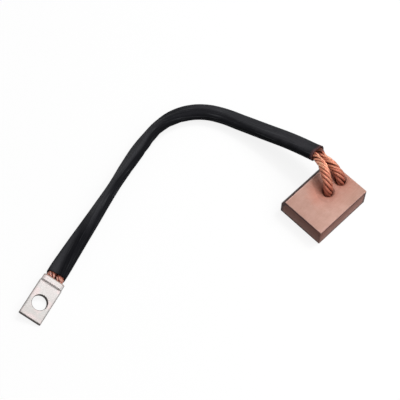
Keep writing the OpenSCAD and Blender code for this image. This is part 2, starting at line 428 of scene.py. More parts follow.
def name_inputs(tree, values):
    """Gives a node tree its named inputs, each of its value's kind."""
    kinds = {int: "Int", float: "Float", tuple: "Vector"}
    for name, value in values.items():
        add_socket(tree, name, kinds[type(value)]).default_value = value


def new_group(name, values, *outputs):
    """A shader node group that takes a vector and named values and puts out named numbers."""
    group = bpy.data.node_groups.new(name, "ShaderNodeTree")
    name_inputs(group, {"Vector": (0.0, 0.0, 0.0), **values})
    for label in outputs:
        add_socket(group, label, "Float", "OUTPUT")
    given = group.nodes.new("NodeGroupInput").outputs
    return group, given, group.nodes.new("NodeGroupOutput")


def use_group(group, vector, **values):
    node = add_node(vector.id_data, "ShaderNodeGroup", node_tree=group)
    return feed(node, Vector=vector, **values).outputs


# ---- effects that finishes share
def build_grain_group():
    """Grain of a pressed or moulded surface: broad patches, fine specks and a height."""
    group, given, out = new_group("surface_grain", {"Patch Scale": 0.2, "Speck Scale": 6.0},
                                  "Patches", "Specks", "Height")
    patches = noise(given["Vector"], given["Patch Scale"], 4)
    specks = noise(given["Vector"], given["Speck Scale"], 2, 0.6)
    sharp = ramp(specks, 0.35, 0.72)
    feed(out, ramp(patches, 0.3, 0.7), sharp, plus(times(patches, 0.4), sharp))
    return group


def build_streak_group():
    """Streaks along one direction, as grinding, drawing or extrusion leaves them."""
    group, given, out = new_group("surface_streaks", {"Stretch": (1.0, 1.0, 1.0), "Scale": 1.0},
                                  "Mask", "Height")
    stretched = vector_maths("MULTIPLY", given["Vector"], given["Stretch"])
    streaks = noise(stretched, given["Scale"], 3, 0.6)
    feed(out, ramp(streaks, 0.38, 0.66), streaks)
    return group


def build_block_edge_group():
    """How near a point of the block's skin lies to an edge: 1 on it, 0 a reach away.

    Each face's distance gives 1 on that face, so the sum passes 1 only where two meet."""
    group, given, out = new_group("block_edges", {"Reach": 0.5, "Ragged": 0.3},
                                  "Mask", "Below Top")
    x, y, z = axes(given["Vector"])
    half_l, half_w, height, bevel_depth = (size / MM for size in (
        BLOCK_LENGTH / 2, BLOCK_WIDTH / 2, BLOCK_HEIGHT, BEVEL_DEPTH))
    slant = math.hypot(BEVEL_WIDTH, BEVEL_DEPTH)
    lean_y, lean_z = BEVEL_DEPTH / slant, BEVEL_WIDTH / slant
    rim = half_w * lean_y + (height - bevel_depth) * lean_z
    below_top = minus(height, z)
    bevel = minus(rim, plus(times(y, lean_y), times(z, lean_z)))
    jagged = noise(given["Vector"], 1.3, 4, 0.6)
    reach = plus(given["Reach"], times(minus(jagged, 0.5), given["Ragged"]))
    near = [ramp(distance, 0, reach, 1, 0) for distance in
            (minus(half_l, absolute(x)), plus(y, half_w), minus(half_w, y), z, below_top, bevel)]
    feed(out, ramp(minus(plus(*near), 1), 0, 1), below_top)
    return group


def build_seat_group():
    """Distance in millimetres from the nearer seat's edge, on the block's broad face."""
    group, given, out = new_group("seat_distance", {}, "Distance")
    x, y, _ = axes(given["Vector"])
    nearer = smaller(*(span(minus(x, seat_x / MM), y) for seat_x in SEATS_X))
    feed(out, minus(nearer, SEAT_D / 2 / MM))
    return group


# ---- finishes
def copper_graphite(grain, streaks, edges, seats):
    """Sintered copper-graphite: dull pink, specked with graphite; its top edges are brighter,
    partly from wear and partly as a painted highlight.

    Copper dust from the tamping stains it round the seats; farther out a redder tint is partly dust
    and partly painted bounce light. Painted shade darkens its sides, its top's ends and far corner,
    and its edges below the top."""
    material, tree, shader = new_material("sintered_copper_graphite")
    place = place_in_mm(tree)
    x, y, _ = axes(place)
    patches, specks, height = use_group(grain, place, Patch_Scale=0.16, Speck_Scale=5.5)
    blotches = use_group(grain, place, Patch_Scale=0.7, Speck_Scale=1.9)
    lines, ridges = use_group(streaks, place, Stretch=(0.15, 2.4, 2.4), Scale=1.6)
    arris = use_group(edges, place, Reach=0.45, Ragged=0.35)
    corners = use_group(edges, place, Reach=2.1, Ragged=0.8)
    distance = use_group(seats, place)["Distance"]

    # Painted shade: the sides and bevel are a little darker than the top, and darkest in a band
    # just under the top edge
    side = mixed(patches, (0.42, 0.2, 0.158), (0.53, 0.28, 0.228))
    painted_shade_band = ramp(arris["Below Top"], 2.5, 9, 0.8, 0.05)
    side = mixed(painted_shade_band, side, (0.21, 0.068, 0.044))

    top = mixed(patches, (0.51, 0.285, 0.225), (0.66, 0.41, 0.345))
    # Painted shade on the top: darker towards both ends and towards the corner at high x and low y
    ends = ramp(absolute(x), 5, 14, 0, 0.4)
    painted_shade_corner = ramp(minus(x, y), 4, 18, 0, 0.55)
    spread = times(blotches["Patches"], 3)
    dust = ramp(distance, 0, plus(spread, 0.9), 0.7, 0)
    # Partly dust and partly painted bounce light: a redder tint round the seats, strongest on the
    # side where the pigtails' shadow falls
    dust_and_bounce = ramp(distance, 1, plus(spread, 6), 0.4, 0)
    shadow_side = ramp(minus(y, x), -1, 6, 0.7, 2.1)
    spill = ramp(absolute(minus(distance, 1.9)), 0.1, 0.6, 0.4, 0)
    left = ramp(x, -2.4, 0.6, 1, 0)
    broken = ramp(blotches["Specks"], 0.2, 0.7, 0.4, 1)
    blotched = times(blotches["Patches"], 0.3)
    top = layered(top, (blotched, (0.45, 0.285, 0.215)),
                  (ends, (0.43, 0.235, 0.185)), (painted_shade_corner, (0.36, 0.2, 0.145)),
                  (times(dust_and_bounce, shadow_side), (0.6, 0.195, 0.125)),
                  (times(spill, left, broken), (0.3, 0.155, 0.12)),
                  (dust, (0.42, 0.165, 0.115)))

    normal = add_node(tree, "ShaderNodeNewGeometry").outputs["True Normal"]
    broad_face = ramp(axes(normal)["Z"], 0.75, 0.95)
    flecks = times(specks, 0.3)
    body = layered(mixed(broad_face, side, top), (flecks, (0.25, 0.12, 0.095)),
                   (times(lines, 0.16), (0.66, 0.42, 0.36)))
    # Painted shade: the edges below the top are darkened, least near the front corner
    painted_edge_shade = ramp(corners["Mask"], 0.1, 0.6, 0, 0.95)
    away_from_front = ramp(plus(x, y), -25, -17, 0.2, 1)
    edge_shaded = mixed(times(painted_edge_shade, away_from_front), body, (0.05, 0.022, 0.02))
    # The top edges are brighter, partly from wear and partly as a painted highlight
    worn = mixed(times(arris["Mask"], 0.6), body, (0.78, 0.52, 0.46))
    body = mixed(ramp(arris["Below Top"], 0.12, 0.5), worn, edge_shaded)
    relief = plus(height, times(ridges, 0.8))
    feed(shader, Base_Color=body, Roughness=ramp(specks, 0, 1, 0.55, 0.7),
         Metallic=0.05, Specular_IOR_Level=0.15, Normal=bump(relief, 0.4, 0.05 * MM))
    return material


def tamping_powder(grain, seats):
    """Copper-graphite powder tamped round the pigtails: pale at the seat's edge, darkened by
    painted shade towards the pigtail.
    """
    material, tree, shader = new_material("tamping_powder")
    place = place_in_mm(tree)
    patches, specks, height = use_group(grain, place, Patch_Scale=0.9, Speck_Scale=9)
    # Painted shade: the powder darkens towards the pigtail's foot
    painted_shade_inward = ramp(use_group(seats, place)["Distance"], -0.7, -0.15, 0.9, 0)
    crumbs = times(specks, 0.4)
    body = layered(mixed(patches, (0.34, 0.13, 0.09), (0.5, 0.24, 0.18)),
                   (painted_shade_inward, (0.13, 0.028, 0.015)), (crumbs, (0.58, 0.29, 0.21)))
    feed(shader, Base_Color=body, Roughness=ramp(specks, 0, 1, 0.75, 0.55),
         Metallic=0.05, Specular_IOR_Level=0.2, Normal=bump(height, 0.7, 0.08 * MM))
    return material


def copper_strands(streaks):
    """Fine drawn copper: bright wires with painted shade in their gaps; red-brown towards the seat,
    partly tarnish and partly painted shade, and painted shade at the sleeve's ends and in the
    terminal's mouth.

    Tin has run over the strands a little way from the terminal."""
    material, tree, shader = new_material("copper_strands")
    place = place_in_mm(tree)
    wires, ridges = use_group(streaks, attribute(tree, "fibre", "Vector"), Scale=1.4)
    bright = ramp(noise(place, 0.5), 0.35, 0.65)
    tone = times(maths("FRACT", times(attribute(tree, "strand_number"), 0.618)), 0.6)
    # Painted shade in the dips of the wires, along the gaps between wires and deep between the
    # strands
    valley = times(attribute(tree, "valley"), 0.35)
    painted_shade_wires = ramp(wires, 0, 1, 0.35, 0)
    painted_shade_strands = ramp(attribute(tree, "reach"), 0.68, 0.9, 0.85, 0)
    tinned = ramp(axes(place)["X"], -104.5, -101.5, 0.6, 0)
    # How stained and shaded each point is: tarnish and painted shade towards the seat, painted
    # shade at the sleeve's ends and in the terminal's mouth, near black where it is deepest
    stain = attribute(tree, "stain")
    deepest_shade = ramp(stain, 0.85, 1.4)
    body = layered(mixed(bright, (0.93, 0.35, 0.24), (1, 0.64, 0.4)),
                   (tone, (0.58, 0.15, 0.085)), (painted_shade_wires, (0.4, 0.14, 0.08)),
                   (valley, (0.25, 0.07, 0.04)), (painted_shade_strands, (0.2, 0.045, 0.025)),
                   (tinned, (0.42, 0.32, 0.3)), (stain, (0.38, 0.095, 0.055)),
                   (deepest_shade, (0.05, 0.014, 0.009)))
    feed(shader, Base_Color=body, Roughness=ramp(stain, 0, 1, 0.32, 0.6),
         Metallic=ramp(stain, 0, 1, 0.72, 0.2), Normal=bump(ridges, 0.4, 0.06 * MM))
    return material


def black_sleeving(grain, streaks):
    """Soft black sleeving: painted sheen along its flats, blacker at its edges, brown at its cut
    end.
    """
    material, tree, shader = new_material("black_sleeving")
    place = attribute(tree, "place", "Vector")
    run, across, rise = axes(place)
    patches, _, height = use_group(grain, place, Patch_Scale=0.12, Speck_Scale=4)
    drawn, ridges = use_group(streaks, place, Stretch=(0.06, 1.5, 1.5), Scale=1)
    # Painted sheen: the flats are lighter near the block, and on the stretch from the terminal
    # along their upper side and one half of the section
    waver = times(noise(run, 0.22), 1.6)
    lower = plus(minus(across, ramp(run, 104, 136, -1, 2)), waver)
    flat = smaller(ramp(lower, 1, 3, 1, 0), ramp(across, -4, -3.2))
    sheen_by_block = times(ramp(run, 92, 104, 0.1, 1.1), flat)
    stretch = smaller(ramp(run, 20, 34), ramp(run, 74, 86, 1, 0.1))
    far_half = times(ramp(across, -1.2, 1.2, 1, 0), ramp(run, 18, 32, 0.75, 0))
    sheen_by_terminal = larger(times(stretch, ramp(rise, 0.7, 1.9)), far_half)
    # The painted sheen's colour on the flats near the block
    worn = mixed(patches, (0.019, 0.02, 0.022), (0.034, 0.033, 0.037))
    lines = times(drawn, 0.2)
    # Painted sheen: brighter lengthwise streaks
    sheen_streaks = ramp(drawn, 0.72, 1, 0, 0.5)
    body = layered(mixed(patches, (0.003, 0.003, 0.004), (0.007, 0.007, 0.009)),
                   (sheen_by_block, worn), (sheen_by_terminal, (0.048, 0.048, 0.053)),
                   (lines, (0.034, 0.035, 0.04)), (sheen_streaks, (0.06, 0.062, 0.066)),
                   (attribute(tree, "rim"), (0.085, 0.042, 0.044)))
    relief = plus(times(height, 0.4), ridges)
    feed(shader, Base_Color=body, Roughness=ramp(patches, 0, 1, 0.6, 0.78),
         Specular_IOR_Level=0.04, Normal=bump(relief, 0.4, 0.06 * MM))
    return material


def tinned_copper(grain, streaks):
    """Tin plate on pressed copper: satin, faintly pink where it is thin.

    Painted shade darkens it towards its tip, inside its mouth, along its edges, in the foot of its
    step, in its hole and where its tip was cut."""
    material, tree, shader = new_material("tinned_copper")
    place = attribute(tree, "place", "Vector")
    x, y, z = axes(place)
    patches, specks, height = use_group(grain, place, Patch_Scale=0.3, Speck_Scale=5)
    drawn, ridges = use_group(streaks, place, Stretch=(0.35, 3, 3), Scale=1.2)
    half, length, foot, hole_x, hole_r = (size / MM for size in (
        TERMINAL_WIDTH / 2, TERMINAL_LENGTH + TIP_BURR, BAND_LENGTH + STEP_LENGTH,
        HOLE_FROM_TIP - TERMINAL_LENGTH, STUD_HOLE_D / 2))

    # Painted shade: the plate darkens towards its tip
    shade_toward_tip = ramp(x, -length, -foot, 0.65, 0)
    thin = ramp(noise(place, 0.2, 2), 0.48, 0.6, 0, 0.6)
    lines = times(drawn, 0.2)
    rim = ramp(x, -0.6, -0.25, 0, 0.75)
    # Painted shade inside the mouth, behind the strands
    inside = times(above(z, 0.6), below(z, 2.75), above(x, -1.7), below(absolute(y), 4.3))
    waver = times(specks, 0.25)
    # Painted shade along the long edges, in the foot of the step, on the hole's wall and on the cut
    # tip
    edge = ramp(plus(absolute(y), waver), half - 0.45, half, 0, 0.5)
    crease = ramp(absolute(plus(x, foot)), 0.04, 0.16, 0.3, 0)
    wall = ramp(span(minus(x, hole_x), y), hole_r + 0.1, hole_r + 0.28, 0.95, 0)
    cut = ramp(x, -length + 0.25, -length + 0.5, 0.97, 0)
    painted_shade = larger(edge, crease, wall, cut)
    body = layered(mixed(patches, (0.66, 0.6, 0.59), (0.68, 0.67, 0.66)),
                   (shade_toward_tip, (0.465, 0.455, 0.43)), (thin, (0.76, 0.62, 0.61)),
                   (lines, (0.5, 0.475, 0.465)), (rim, (0.22, 0.13, 0.08)),
                   (inside, (0.06, 0.025, 0.015)), (painted_shade, (0.085, 0.072, 0.067)))
    relief = plus(times(height, 0.5), ridges)
    feed(shader, Base_Color=body, Roughness=ramp(specks, 0, 1, 0.6, 0.72),
         Metallic=ramp(painted_shade, 0, 0.9, 0.25, 0.1), Specular_IOR_Level=0.2,
         Normal=bump(relief, 0.12, 0.05 * MM))
    return material


# ---- the lead's route
def terminal_matrix():
    """Where the terminal lies: turned along the lead and rolled on to one long edge."""
    rest = Vector((0, -REST_Y, PLATE_THICKNESS / 2))
    return (Matrix.Translation(Vector(TERMINAL_AT)) @ Matrix.Rotation(TERMINAL_TURN, 4, "Z")
            @ Matrix.Translation(rest) @ Matrix.Rotation(TERMINAL_ROLL, 4, "X")
            @ Matrix.Translation(-rest))


def terminal_place(x, y, z):
    """A place given in the terminal's own frame: +X out of its mouth, +Z through its plate."""
    return np.array(terminal_matrix() @ Vector((x, y, z)))


def lead_controls():
    """Places of the lead's stations, their across and up directions, and their turns."""
    x, y, rise, turns = np.array(LEAD, dtype=float).T
    turns = np.radians(turns)
    lift = PAIR_OFFSET * np.abs(np.sin(turns))
    z = FLOOR_GAP + rise * BLOCK_HEIGHT + lift + SLEEVE_OUTER_R
    places = np.column_stack([x * MM, y * MM, z])
    mouth = terminal_place(0, 0, TUBE_WALL + MOUTH_GAP / 2)
    before = np.vstack([mouth, places[:-1]])
    after = np.vstack([places[1:], 2 * places[-1] - places[-2]])
    frames = [station_frame(unit(b - a), turn) for a, b, turn in zip(before, after, turns)]
    return places, frames, turns


def sleeve_line():
    """The sleeve's middle line in fine steps, with its across and up directions."""
    places, _, turns = lead_controls()
    path = smooth_path([[*p, t] for p, t in zip(places, turns)], SLEEVE_STEP)
    points = path[:, :3]
    along = np.gradient(points, axis=0)
    return points, [station_frame(unit(a), t) for a, t in zip(along, path[:, 3])]


def pressed_stations(hand):
    """A pigtail's end pressed flat in the terminal, from its tip to the mouth."""
    turns = np.array(terminal_matrix().to_3x3())
    side, up = -turns[:, 1], turns[:, 2]
    rows = []
    for depth, gap in ((CRIMP_DEPTH - 4 * CRIMP_FIT, PRESSED_GAP),
                       (MOUTH_BAND + MOUTH_STEP, PRESSED_GAP), (MOUTH_BAND, MOUTH_GAP),
                       (0, MOUTH_GAP)):
        place = terminal_place(-depth, -hand * PRESSED_OFFSET, TUBE_WALL + gap / 2)
        rows.append([*place, *(side * PRESSED_WIDTH / 2), *(up * (gap / 2 - CRIMP_FIT))])
    return rows


def tail_stations(hand, tail, seat_x):
    """A bare pigtail from the sleeve's end, over the face's edge and down into its seat."""
    places, frames, turns = lead_controls()
    start = places[-1] + hand * PAIR_OFFSET * frames[-1][0]
    bare = [np.array([seat_x + share * (start[0] - seat_x), y * MM, BLOCK_HEIGHT + rise * MM])
            for share, y, rise in tail]
    top = np.array([seat_x, 0, BLOCK_HEIGHT - POWDER_RECESS])
    bottom = np.array([seat_x, 0, SEAT_FLOOR + 6 * POWDER_FIT])
    points = [start, *bare, top, bottom, 2 * bottom - top]
    rows = []
    for i in range(1, len(points) - 1):
        along = unit(points[i + 1] - points[i - 1])
        side = unit(np.array([-1.0, 0, 0]) + along[0] * along)
        turn = turns[-1] * max(0.0, 1 - i / len(bare))
        across, up = turned(side, np.cross(side, along), turn)
        half = (PINCHED_PIGTAIL_D if i == 1 else BARE_PIGTAIL_D) / 2
        if i in SPREAD_STATIONS:
            half *= SPREAD
        rows.append([*points[i], *(across * half), *(up * half)])
    return rows


def pigtail_path(hand, tail, seat_x, exit_stain):
    """A pigtail's points from the terminal to its seat: place, half width and half height.

    Inside the sleeve, where it is not seen, the steps are longer. Returns also how stained and
    shaded each point is: tarnish and painted shade towards the seat, painted shade at both ends of
    the sleeve and in the terminal's mouth."""
    points, frames = sleeve_line()
    picked = [*range(0, len(points) - 3, 6), len(points) - 3, len(points) - 1]
    paired = [[*(points[k] + hand * PAIR_OFFSET * frames[k][0]),
               *(frames[k][0] * PIGTAIL_D / 2), *(frames[k][1] * PIGTAIL_D / 2)] for k in picked]
    rows = smooth_path([*pressed_stations(hand), *paired, *tail_stations(hand, tail, seat_x)],
                       ROPE_STEP)
    run = run_along(rows[:, :3])
    enters, leaves = (run[np.argmin(np.linalg.norm(rows[:, :3] - row[:3], axis=1))]
                      for row in (paired[0], paired[-1]))
    to_seat = run[-1] - run - (BLOCK_HEIGHT - SEAT_FLOOR)
    stain = np.clip(1 - to_seat / STAIN_AND_SHADE_REACH, 0, 1) ** STAIN_AND_SHADE_BEND * STAIN_AND_SHADE_DEPTH
    # Painted shade in the terminal's mouth, at both ends of the sleeve and, by the given depth,
    # just past the sleeve's end
    for at, reach, depth in ((enters - 2.2 * MM, 0.7 * MM, 1.0), (enters, 0.7 * MM, 1.15),
                             (leaves - 0.5 * MM, 0.9 * MM, 1.3),
                             (leaves + 0.6 * MM, 1.8 * MM, exit_stain)):
        stain = np.maximum(stain, depth * swell(run - at, reach))
    hidden = (run > enters + 4 * MM) & (run < leaves - 4 * MM)
    keep = ~hidden | (np.arange(len(run)) % 4 == 0)
    return rows[keep], stain[keep]


# ---- stranded pigtails
def build_rope_tree():
    """Geometry Nodes: strands of wires laid round a core, along a line with its own section.

    The line's points hold half_width, half_height and strand_radius."""
    tree = bpy.data.node_groups.new("stranded_rope", "GeometryNodeTree")
    add_socket(tree, "Geometry", "Geometry")
    name_inputs(tree, {"Strands": STRANDS, "Lay Length": LAY_LENGTH, "Wires": WIRES,
                       "Wire Lay": WIRE_LAY, "Wire Depth": WIRE_DEPTH,
                       "Strand Share": STRAND_SHARE, "Looseness": LOOSENESS, "Seed": 1})
    add_socket(tree, "Material", "Material")
    add_socket(tree, "Geometry", "Geometry", "OUTPUT")
    new = functools.partial(add_node, tree)
    given = new("NodeGroupInput").outputs
    vector = "FLOAT_VECTOR"

    def named(name, kind="FLOAT"):
        node = new("GeometryNodeInputNamedAttribute", data_type=kind)
        return feed(node, Name=name).outputs["Attribute"]

    def store(geometry, name, value, kind="FLOAT"):
        node = new("GeometryNodeStoreNamedAttribute", data_type=kind, domain="POINT")
        feed(node, Geometry=geometry, Name=name)
        tree.links.new(value, next(s for s in node.inputs if s.name == "Value" and s.enabled))
        return node.outputs["Geometry"]

    def node(kind, **inputs):
        return feed(new("GeometryNode" + kind), **inputs).outputs[0]

    # The line is copied once for the core and once for each strand, which then winds round it
    line = node("MeshToCurve", Mesh=given["Geometry"])
    copies = feed(new("GeometryNodeDuplicateElements", domain="SPLINE"), Geometry=line,
                  Amount=plus(given["Strands"], 1.0)).outputs
    number = copies["Duplicate Index"]
    run = new("GeometryNodeSplineParameter").outputs["Length"]
    jitter = feed(new("FunctionNodeRandomValue", data_type="FLOAT"), Min=-1.0, ID=number,
                  Seed=given["Seed"])
    loose = times(jitter.outputs["Value"], given["Looseness"])
    angle = plus(times(number, over(math.tau, given["Strands"])),
                 times(run, over(math.tau, given["Lay Length"])), times(loose, 3.0))
    ring = times(minus(1.0, given["Strand Share"]), minus(1.0, absolute(loose)),
                 above(number, 0.5))
    half_width = named("half_width", vector)
    across = vector_maths("SCALE", half_width, Scale=times(ring, maths("COSINE", angle)))
    rise = vector_maths("SCALE", named("half_height", vector),
                        Scale=times(ring, maths("SINE", angle)))
    shift = vector_maths("ADD", across, rise)
    here = node("InputPosition")
    middle = store(copies["Geometry"], "middle", here, vector)
    strands = node("SetPosition", Geometry=middle, Offset=shift)
    strands = store(store(strands, "strand_number", number), "run", run)
    tilt = times(run, over(math.tau, given["Wire Lay"]))
    strands = node("SetCurveTilt", Curve=strands, Tilt=tilt)

    # A strand's section: a ring of round wires, drawn as a circle that dips between them
    corners = times(given["Wires"], WIRE_CORNERS)
    circle = node("CurvePrimitiveCircle", Resolution=corners, Radius=1.0)
    turn = new("GeometryNodeSplineParameter").outputs["Factor"]
    crest = root(absolute(maths("COSINE", times(turn, math.pi, given["Wires"]))))
    around = node("InputPosition")
    section = store(store(circle, "around", around, vector), "valley", minus(1.0, crest))
    dip = minus(1.0, times(named("valley"), given["Wire Depth"]))
    dipped = vector_maths("SCALE", around, Scale=dip)
    section = node("SetPosition", Geometry=section, Position=dipped)
    sweep = node("CurveToMesh", Curve=strands, Profile_Curve=section, Fill_Caps=True,
                 Scale=named("strand_radius"))

    # For the finish: a place along and across the wires, and how far out of the rope it lies
    climb = plus(times(named("run"), FIBRE_ALONG), times(named("strand_number"), FIBRE_APART))
    climb = feed(new("ShaderNodeCombineXYZ"), Z=climb).outputs["Vector"]
    fibre = vector_maths("MULTIPLY_ADD", named("around", vector), (FIBRE_ACROSS,) * 3, climb)
    reach = over(vector_maths("DISTANCE", here, named("middle", vector)),
                 vector_maths("LENGTH", half_width))
    finished = store(store(sweep, "fibre", fibre, vector), "reach", reach)
    smooth = node("SetShadeSmooth", Geometry=finished)
    real = node("RealizeInstances", Geometry=smooth)
    coated = node("SetMaterial", Geometry=real, Material=given["Material"])
    feed(new("NodeGroupOutput"), Geometry=coated)
    return tree


def pigtail(name, node, hand, tail, seat_x, exit_stain, tree, material, seed):
    """A rope of twisted strands from the terminal to its seat in the block."""
    path, stain = pigtail_path(hand, tail, seat_x, exit_stain)
    half_w, half_h = (np.linalg.norm(path[:, k:k + 3], axis=1) for k in (3, 6))
    piece = mesh_object(name, path[:, :3], [], [(i, i + 1) for i in range(len(path) - 1)],
                        half_width=path[:, 3:6], half_height=path[:, 6:9], stain=stain,
                        strand_radius=np.minimum(STRAND_SHARE * half_w,
                                                 FLAT_STRAND_SHARE * half_h))
    modifier = piece.modifiers.new("strands", "NODES")
    modifier.node_group = tree
    given = {"Material": material, "Seed": seed}
    for socket in tree.interface.items_tree:
        if socket.name in given:
            modifier[socket.identifier] = given[socket.name]
    apply_modifiers(piece)
    return finish_piece(piece, material, node), path[:, :3]


# ---- sleeve
def sleeve_section(radius):
    """Points of the flat section over two pigtails; the flats sink a little between them."""
    points = []
    for x, y, nx, ny in flat_loop(PAIR_OFFSET, radius, SLEEVE_AROUND, 0):
        sink = FLAT_DIP * swell(x, DIP_REACH) if abs(ny) > 0.9 else 0
        points.append((x, y - math.copysign(sink, y), nx, ny))
    return points


def sleeve_sink(share, length, x, y, ny):
    """How deep, in metres, the creases and folds press in a point of the sleeve's section."""
    sink = 0
    way = math.degrees(math.atan2(y, x)) % 360
    for place, width, crease_way, depth in CREASES:
        near = (share - place) * length / (width * MM)
        apart = (way - crease_way + 180) % 360 - 180
        sink += depth * MM * math.exp(-near**2 - (apart / CREASE_SPREAD) ** 2)
    for start, end, fold_x, width, depth in FOLDS:
        reach = ease((share - start) / FOLD_RUN_OUT) * ease((end - share) / FOLD_RUN_OUT)
        sink += depth * MM * reach * swell(x / MM - fold_x, width) * max(ny, 0)
    return sink


def insulating_sleeve(material):
    """A flat tube over both pigtails, creased on the inside of its bend, its ends cut square.

    At the block its upper wall stands a little open. At the terminal it is drawn in, and its
    lower wall runs on under the pigtails."""
    points, frames = sleeve_line()
    run = run_along(points)
    length = run[-1]
    rings = len(points)
    verts, marks, rims = [], [], []
    for radius, outer in ((SLEEVE_OUTER_R, True), (SLEEVE_INNER_R, False)):
        section = sleeve_section(radius)
        for point, (side, up), at in zip(points, frames, run):
            gape = MOUTH_GAPE * swell(length - at, GAPE_REACH)
            drawn_in = MOUTH_TAPER * swell(at, TAPER_REACH) * (1 if outer else 0.6)
            tuck = SLEEVE_TUCK * swell(at, TUCK_REACH) * np.cross(up, side)
            rim = swell(length - at, RIM_WIDTH, 4) * (1 if outer else 0.4)
            for x, y, nx, ny in section:
                sink = drawn_in + sleeve_sink(at / length, length, x, y, ny)
                lift = gape * max(ny if up[2] > 0 else -ny, 0)
                broad = x * SLEEVE_SLACK if outer else x
                place = (point + (broad - nx * sink) * side + (y - ny * (sink - lift)) * up
                         - max(-ny, 0) * tuck)
                verts.append((*place[:2], max(place[2], 0)))
                marks.append((at / MM, x / MM, y / MM))
                rims.append(rim)
    n = SLEEVE_AROUND
    base = rings * n
    faces = quads_between(rings, n) + quads_between(rings, n, base, flip=True)
    far = base - n
    for i in range(n):
        j = (i + 1) % n
        faces.append((i, base + i, base + j, j))
        faces.append((far + j, base + far + j, base + far + i, far + i))
    piece = mesh_object("insulating_sleeve_tube", verts, faces, place=marks, rim=rims)
    outward(piece)
    return finish_piece(piece, material, "insulating_sleeve"), points


# ---- block and powder
def welded_copy(name, node):
    """A merged copy of a CAD node's mesh, for finishing."""
    mesh = bpy.data.objects[node].data.copy()
    mesh.name = name
    bm = bmesh.new()
    bm.from_mesh(mesh)
    bmesh.ops.remove_doubles(bm, verts=bm.verts, dist=0.002 * MM)
    bmesh.ops.dissolve_limit(bm, angle_limit=math.radians(0.5), verts=bm.verts, edges=bm.edges)
    bm.to_mesh(mesh)
    bm.free()
    return new_object(name, mesh)


def weigh_seat_edges(mesh):
    """Marks the round edges of the two seats, which the tamping has worn rounder."""
    def on_rim(index):
        x, y, z = mesh.vertices[index].co
        away = min(math.hypot(x - seat_x, y) for seat_x in SEATS_X)
        return abs(away - SEAT_D / 2) < 0.05 * MM and abs(z - BLOCK_HEIGHT) < 0.01 * MM

    weights = mesh.attributes.new("bevel_weight_edge", "FLOAT", "EDGE")
    for edge in mesh.edges:
        weights.data[edge.index].value = float(all(map(on_rim, edge.vertices)))


def brush_block(material):
    """The pressed block, its seats' edges worn and every other edge barely broken."""
    piece = welded_copy("brush_block_body", "brush_block")
    weigh_seat_edges(piece.data)
    for width, segments, method in ((SEAT_WEAR, 3, "WEIGHT"), (EDGE_WEAR, 2, "ANGLE")):
        with_settings(piece.modifiers.new("rounding", "BEVEL"), width=width, segments=segments,
                      limit_method=method, angle_limit=math.radians(35))
        apply_modifiers(piece, sharp_from=32)
    return finish_piece(piece, material, "brush_block")


def powder_plug(name, node, seat_x, material, seed):
    """Tamping powder: a dished, crumbly ring round the pigtail on a plain plug in the seat."""
    rng = np.random.default_rng(seed)
    around = POWDER_AROUND
    outer = SEAT_D / 2 - POWDER_FIT
    inner = BARE_PIGTAIL_D / 2 + POWDER_FIT
    rim = BLOCK_HEIGHT - POWDER_RECESS + CRUMB_RISE
    bed = SEAT_FLOOR + 5 * POWDER_FIT
    point = SEAT_FLOOR - outer / math.tan(DRILL_POINT / 2)
    profile = [(outer, SEAT_FLOOR, 0), (outer, rim - 0.5 * MM, 0), (outer, rim - 0.08 * MM, 0.3)]
    for share in (0.12, 0.3, 0.48, 0.66, 0.84):
        drop = POWDER_DISH * share ** 1.4
        profile.append((outer + (inner - outer) * share, rim - drop, 1.0))
    profile += [(inner, rim - POWDER_DISH, 0.3), (inner, rim - POWDER_DISH - 0.5 * MM, 0),
                (inner, bed, 0)]
    waves = rng.uniform(0, math.tau, WAVES)
    verts = [(seat_x, 0, point)]
    for radius, z, crumble in profile:
        for i in range(around):
            a = math.tau * i / around
            wave = sum(math.sin((k + 2) * a + waves[k] + WAVE_DRIFT * radius * (k % 3))
                       for k in range(WAVES)) / WAVES
            lift = (CRUMB_WAVES * wave + CRUMB_GRAINS * rng.uniform(-1, 1)) * crumble * MM
            verts.append((seat_x + radius * math.cos(a), radius * math.sin(a), z + lift))
    verts.append((seat_x, 0, bed))
    faces = quads_between(len(profile), around, start=1)
    top = 1 + (len(profile) - 1) * around
    for i in range(around):
        j = (i + 1) % around
        faces.append((0, 1 + j, 1 + i))
        faces.append((top + i, top + j, len(verts) - 1))
    piece = mesh_object(name, verts, faces)
    outward(piece)
    return finish_piece(piece, material, node)


